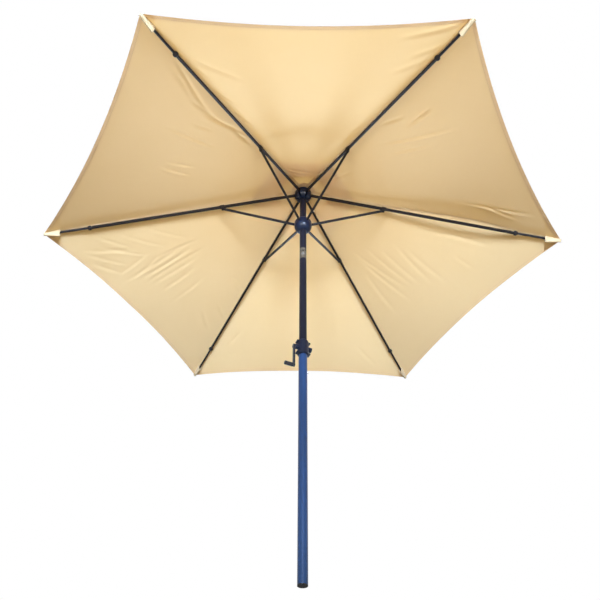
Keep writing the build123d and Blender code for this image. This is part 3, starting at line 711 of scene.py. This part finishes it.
def stage_floor():
    """A pale floor that isn't seen from below, where the photograph's camera is."""
    corners = [(x * FLOOR_HALF, y * FLOOR_HALF, 0) for x, y in ((-1, -1), (1, -1), (1, 1), (-1, 1))]
    made = new_mesh("studio_floor", corners, [(0, 1, 2, 3)])
    paint, tree = shade("floor_paint")
    place = node(tree, "ShaderNodeTexCoord").outputs["Object"]
    tone = noise(tree, place, 1.5, 3)
    solid = node(tree, "ShaderNodeBsdfPrincipled")
    solid.inputs["Roughness"].default_value = 0.9
    solid.inputs["Specular IOR Level"].default_value = 0.1
    link(tree, mixed(tree, tone, (0.80, 0.80, 0.80), (0.84, 0.84, 0.84)), solid.inputs["Base Color"])
    pale = node(tree, "ShaderNodeEmission")
    pale.inputs["Color"].default_value = (1, 1, 1, 1)
    path = node(tree, "ShaderNodeLightPath")
    seen = maths(tree, "MAXIMUM", path.outputs["Is Camera Ray"], path.outputs["Is Glossy Ray"])
    link(tree, maths(tree, "MULTIPLY", seen, FLOOR_GLOW), pale.inputs["Strength"])
    upper = node(tree, "ShaderNodeAddShader")
    link(tree, solid.outputs[0], upper.inputs[0])
    link(tree, pale.outputs[0], upper.inputs[1])
    clear = node(tree, "ShaderNodeBsdfTransparent")
    both = node(tree, "ShaderNodeMixShader")
    link(tree, node(tree, "ShaderNodeNewGeometry").outputs["Backfacing"], both.inputs[0])
    link(tree, upper.outputs[0], both.inputs[1])
    link(tree, clear.outputs[0], both.inputs[2])
    link(tree, both.outputs[0], node(tree, "ShaderNodeOutputMaterial").inputs[0])
    made.data.materials.append(paint)


def studio_world():
    world = bpy.data.worlds.new("studio")
    world.use_nodes = True
    tree = world.node_tree
    tree.nodes.clear()
    path = node(tree, "ShaderNodeLightPath")
    # Rays through the cloth count as transmission, and there is no glass, so those don't see the white
    seen = maths(tree, "MAXIMUM", path.outputs["Is Camera Ray"], path.outputs["Is Glossy Ray"])
    sky = node(tree, "ShaderNodeBackground")
    sky.inputs["Color"].default_value = SKY_TINT
    sky.inputs["Strength"].default_value = SKY_LEVEL
    white = node(tree, "ShaderNodeBackground")
    white.inputs["Color"].default_value = (1, 1, 1, 1)
    white.inputs["Strength"].default_value = 1.0
    both = node(tree, "ShaderNodeMixShader")
    link(tree, seen, both.inputs[0])
    link(tree, sky.outputs[0], both.inputs[1])
    link(tree, white.outputs[0], both.inputs[2])
    link(tree, both.outputs[0], node(tree, "ShaderNodeOutputWorld").inputs[0])
    scene.world = world


def aim(made, target):
    made.rotation_euler = (Vector(target) - made.location).to_track_quat("-Z", "Y").to_euler()


def place_lamp(name, lamp, place, target, power, tint):
    lamp.energy = power
    lamp.color = tint
    made = bpy.data.objects.new(name, lamp)
    made.location = place
    scene.collection.objects.link(made)
    aim(made, target)


def soft_lamp(name, place, target, size, power, tint):
    lamp = bpy.data.lights.new(name, "AREA")
    lamp.shape = "DISK"
    lamp.size = size
    place_lamp(name, lamp, place, target, power, tint)


def spot_lamp(name, place, target, cone, radius, power, tint):
    """A soft-edged lamp that lights one part of the umbrella and little of the floor."""
    lamp = bpy.data.lights.new(name, "SPOT")
    lamp.spot_size = math.radians(cone)
    lamp.spot_blend = 1.0
    lamp.shadow_soft_size = radius
    place_lamp(name, lamp, place, target, power, tint)


SENSOR = 36.0
PHOTO_WIDTH = 600.0        # pixels, in which the focal length was found


def photo_camera():
    """The photograph's view, from a fit of the rib ends, joints, hubs and pole to their places in it."""
    place = Vector((-0.0361, -2.3939, -0.9754))
    yaw, pitch, roll, focal = -0.0092, 0.7737, 0.0052, 702.35
    ahead = Vector((-math.sin(yaw) * math.cos(pitch), math.cos(yaw) * math.cos(pitch), math.sin(pitch)))
    level = Vector((math.cos(yaw), math.sin(yaw), 0))
    upward = level.cross(ahead)
    right = level * math.cos(roll) + upward * math.sin(roll)
    top = upward * math.cos(roll) - level * math.sin(roll)
    lens = bpy.data.cameras.new("photo_camera")
    lens.sensor_width = SENSOR
    lens.lens = focal * SENSOR / PHOTO_WIDTH
    lens.clip_end = 100.0
    made = bpy.data.objects.new("photo_camera", lens)
    turn = Matrix((right, top, -ahead)).transposed()
    made.matrix_world = Matrix.Translation(place) @ turn.to_4x4()
    scene.collection.objects.link(made)
    scene.camera = made


SIDE_TINT = (0.98, 1.28, 1.76)
LOW_TINT = (1.0, 0.96, 0.90)
BACK_TINT = (0.94, 1.29, 1.86)
TOP_TINT = (1.02, 0.94, 0.74)
POLE_TINT = (0.85, 0.96, 1.12)

# Lamps in pairs: name, place and target on the +X side, cone in degrees, radius, watts, tint
SIDE_LAMPS = (
    ("side_lamp", (0.0, -5.2, 1.0), (1.30, 0.5, 1.95), 28, 1.4, 5200, SIDE_TINT),
)
FRONT_LAMPS = (
    ("low_lamp", (1.6, -3.1, 0.15), (0.0, 1.1, 1.85), 42, 1.4, 570, LOW_TINT),
    ("hub_lamp", (1.3, -2.6, 0.30), (0.0, 0.0, 2.12), 20, 0.9, 390, LOW_TINT),
)
BACK_LAMPS = (
    ("back_lamp", (1.6, 5.0, 0.8), (0.0, -1.15, 1.87), 15, 1.0, 2250, BACK_TINT),
    ("mid_lamp", (1.6, 5.0, 0.8), (0.0, -0.40, 2.05), 10, 0.5, 330, BACK_TINT),
)


def lamp_pairs(lamps):
    for side in (-1, 1):
        mirror = np.array((side, 1, 1))
        for name, place, target, *light in lamps:
            spot_lamp(f"{name}_{side}", mirror * place, mirror * target, *light)


stage_floor()
studio_world()
lamp_pairs(SIDE_LAMPS)
lamp_pairs(FRONT_LAMPS)
spot_lamp("pole_lamp", (0.0, -3.0, 0.22), (0.0, 0.0, 0.18), 17, 0.2, 380, POLE_TINT)
lamp_pairs(BACK_LAMPS)
soft_lamp("top_lamp", (0.0, -3.2, 5.6), (0, 0, 2.0), 3.0, 215, TOP_TINT)
photo_camera()
scene.view_settings.view_transform = "Standard"
